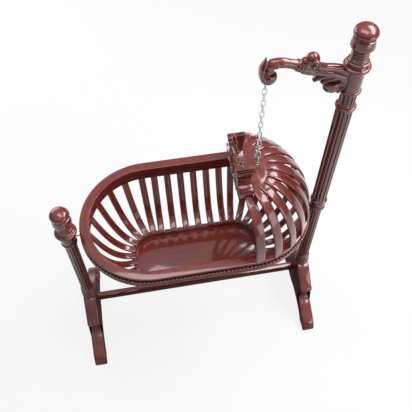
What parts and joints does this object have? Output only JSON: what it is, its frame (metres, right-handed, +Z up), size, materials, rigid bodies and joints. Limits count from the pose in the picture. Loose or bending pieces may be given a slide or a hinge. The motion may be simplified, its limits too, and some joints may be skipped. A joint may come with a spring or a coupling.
{
  "type": "swinging cradle on stand",
  "caption": "Oval slatted wooden cradle with a slatted hood, hung between two turned posts from a carved arm and chain and a ball pivot, and free to swing sideways.",
  "frame": {"origin": "on the floor, midway between the two posts' outermost discs and midway across the cradle", "axes": "+X from the foot post to the head post with the arm, +Y to the rear, +Z up; the viewer of the picture stands at -Y"},
  "size_m": [1.217, 0.61, 1.8004],
  "materials": {
    "stand_mahogany": "dark red mahogany under clear gloss lacquer",
    "rail_mahogany": "dark red mahogany under clear gloss lacquer",
    "slat_mahogany": "steam bent, dark red under clear gloss lacquer",
    "carved_mahogany": "hand carved, dark red under clear gloss lacquer",
    "bare_dowel": "bare hardwood, inside the joints",
    "machined_steel": "turned bright steel",
    "chain_steel": "bright plated welded chain"
  },
  "bodies": {
    "stand": {"foot_end_front_foot": "stand_mahogany", "foot_end_rear_foot": "stand_mahogany", "head_end_front_foot": "stand_mahogany", "head_end_rear_foot": "stand_mahogany", "foot_end_block": "stand_mahogany", "head_end_block": "stand_mahogany", "stretcher": "stand_mahogany", "stretcher_bolts": "machined_steel", "foot_dowels": "bare_dowel", "foot_post_base": "stand_mahogany", "head_post_base": "stand_mahogany", "foot_column": "stand_mahogany", "head_lower_column": "stand_mahogany", "head_upper_column": "stand_mahogany", "foot_collar": "stand_mahogany", "head_collar": "stand_mahogany", "column_rings": "stand_mahogany", "fluted_neck": "stand_mahogany", "arm_sleeve": "stand_mahogany", "foot_disc": "stand_mahogany", "head_disc": "stand_mahogany", "foot_finial": "stand_mahogany", "head_finial": "stand_mahogany", "foot_tie_rod": "machined_steel", "head_tie_rod": "machined_steel", "carved_arm": "carved_mahogany", "arm_dowels": "bare_dowel", "arm_eye": "chain_steel", "pivot_pin": "machined_steel"},
    "cradle": {"pivot_socket": "machined_steel", "rim_top": "rail_mahogany", "rim_apron": "rail_mahogany", "rim_moulding": "rail_mahogany", "near_slats": "slat_mahogany", "far_slats": "slat_mahogany", "foot_end_slats": "slat_mahogany", "head_end_slats": "slat_mahogany", "base_hoop": "rail_mahogany", "floor_panel": "rail_mahogany", "floor_battens": "rail_mahogany", "floor_screws": "machined_steel", "hood_slat_near_1": "slat_mahogany", "hood_slat_near_2": "slat_mahogany", "hood_slat_near_3": "slat_mahogany", "hood_slat_near_4": "slat_mahogany", "hood_slat_near_5": "slat_mahogany", "hood_slat_near_6": "slat_mahogany", "hood_slat_far_1": "slat_mahogany", "hood_slat_far_2": "slat_mahogany", "hood_slat_far_3": "slat_mahogany", "hood_slat_far_4": "slat_mahogany", "hood_slat_far_5": "slat_mahogany", "hood_slat_far_6": "slat_mahogany", "crown_plate": "rail_mahogany", "crest": "carved_mahogany", "crest_carving": "carved_mahogany", "crown_eyes": "chain_steel", "chain_links": "chain_steel", "bridle_ring": "chain_steel", "bridle_legs": "chain_steel"}
  },
  "joints": [
    {"name": "cradle_swing", "type": "hinge", "parent": "stand", "child": "cradle", "pos_m": [-0.475, 0, 0.838], "axis": [0.6991, 0, 0.715], "range_deg": [-12, 12]}
  ]
}
